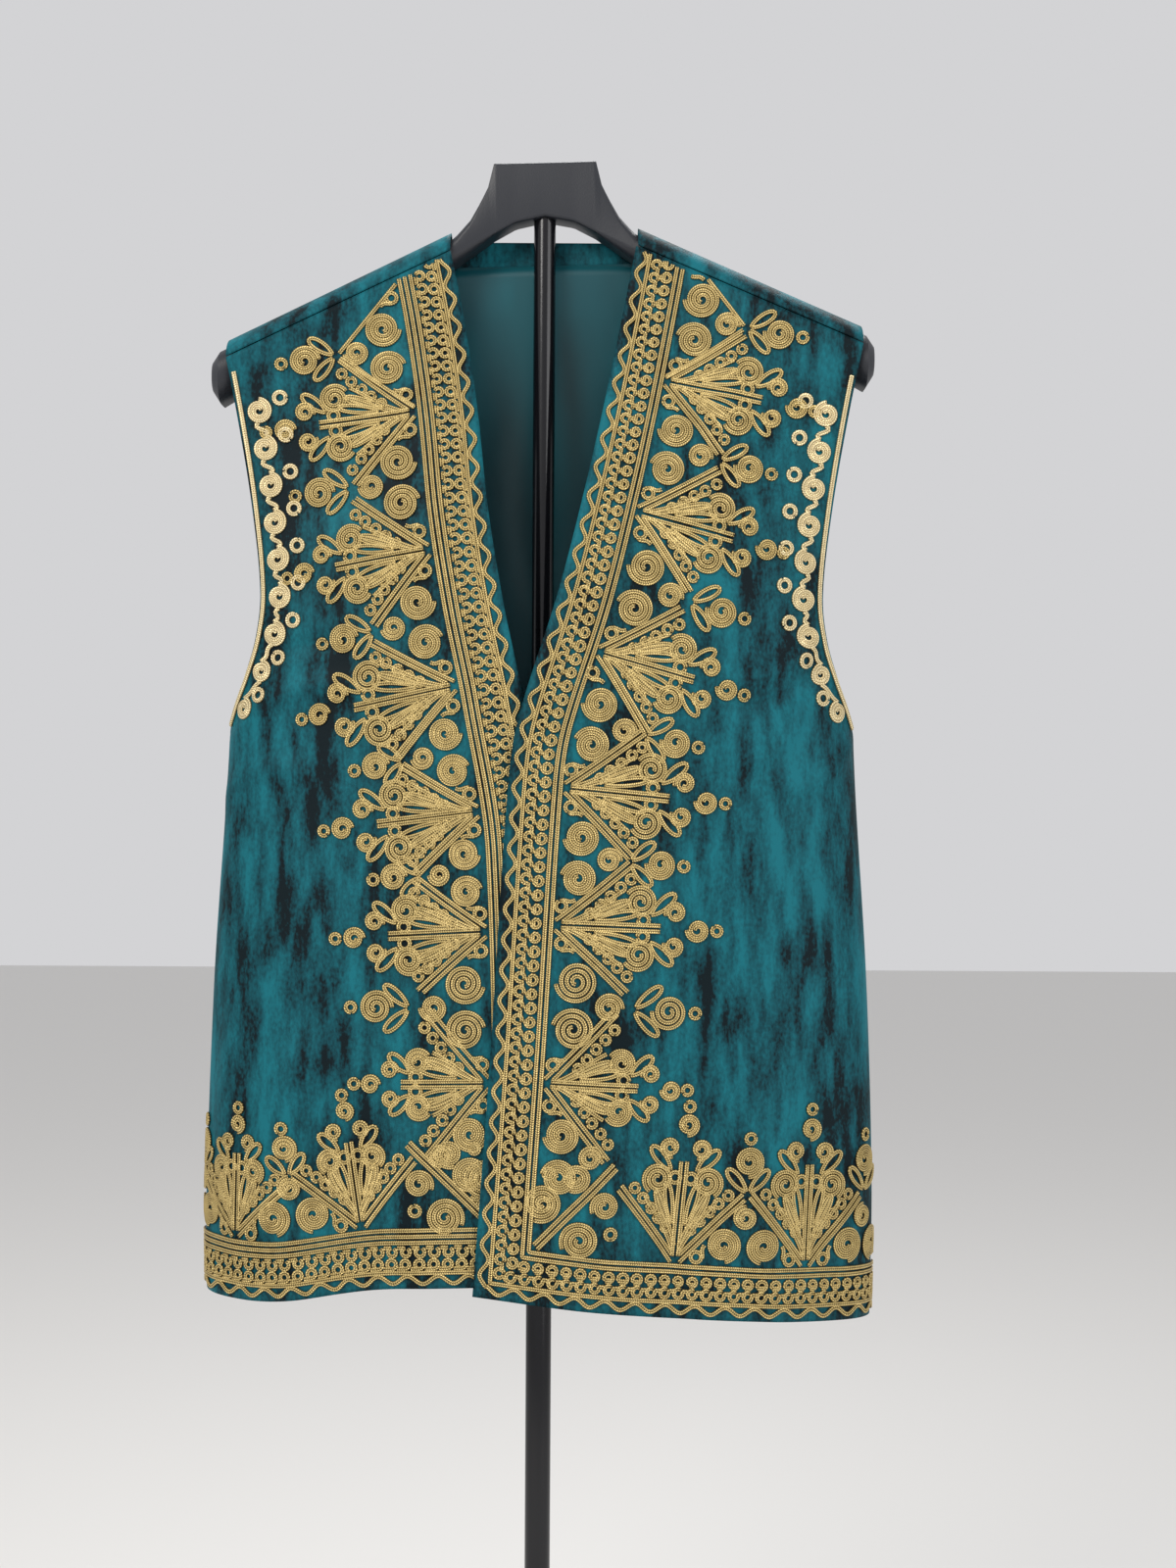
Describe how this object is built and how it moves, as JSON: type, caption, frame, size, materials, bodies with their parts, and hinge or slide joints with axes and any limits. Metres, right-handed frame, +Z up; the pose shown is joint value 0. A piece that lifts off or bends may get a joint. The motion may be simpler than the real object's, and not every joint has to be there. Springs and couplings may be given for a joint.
{
  "type": "embroidered folk vest on a telescoping display stand",
  "caption": "Sleeveless open-front vest in crushed teal velvet with couched gold braid scrollwork, hung on a black telescoping stand with a suit-hanger head.",
  "frame": {"origin": "middle of the stand's base, on the surface it stands on", "axes": "+Z up along the pole, the vest's front faces -Y, +X towards the wearer's left"},
  "size_m": [0.458, 0.29, 1.3211],
  "materials": {
    "velvet": "crushed pile velvet with a soft sheen",
    "satin_lining": "plain satin",
    "gold_braid": "metallic plaited braid",
    "black_steel": "gloss black",
    "black_moulding": "satin black moulding"
  },
  "bodies": {
    "stand": {"base_plate": "black_steel", "base_socket": "black_steel", "lower_tube": "black_steel", "lock_collar": "black_moulding"},
    "head": {"upper_tube": "black_steel", "hanger_head": "black_moulding", "front_left": "velvet", "palmette_1_left": "gold_braid", "palmette_2_left": "gold_braid", "bud_1_left": "gold_braid", "palmette_3_left": "gold_braid", "bud_2_left": "gold_braid", "palmette_4_left": "gold_braid", "bud_3_left": "gold_braid", "palmette_5_left": "gold_braid", "bud_4_left": "gold_braid", "palmette_6_left": "gold_braid", "bud_5_left": "gold_braid", "hem_palmette_1_left": "gold_braid", "hem_palmette_2_left": "gold_braid", "hem_bud_1_left": "gold_braid", "hem_bud_2_left": "gold_braid", "shoulder_braid_left": "gold_braid", "corner_braid_left": "gold_braid", "edge_braid_left": "gold_braid", "armhole_braid_left": "gold_braid", "front_right": "velvet", "palmette_1_right": "gold_braid", "palmette_2_right": "gold_braid", "bud_1_right": "gold_braid", "palmette_3_right": "gold_braid", "bud_2_right": "gold_braid", "palmette_4_right": "gold_braid", "bud_3_right": "gold_braid", "palmette_5_right": "gold_braid", "bud_4_right": "gold_braid", "palmette_6_right": "gold_braid", "bud_5_right": "gold_braid", "hem_palmette_1_right": "gold_braid", "hem_palmette_2_right": "gold_braid", "hem_bud_1_right": "gold_braid", "hem_bud_2_right": "gold_braid", "shoulder_braid_right": "gold_braid", "corner_braid_right": "gold_braid", "edge_braid_right": "gold_braid", "armhole_braid_right": "gold_braid", "back": "velvet", "lining_back": "satin_lining"}
  },
  "joints": [
    {"name": "height_slide", "type": "slide", "parent": "stand", "child": "head", "axis": [0, 0, 1], "range_m": [-0.3, 0.2]}
  ]
}
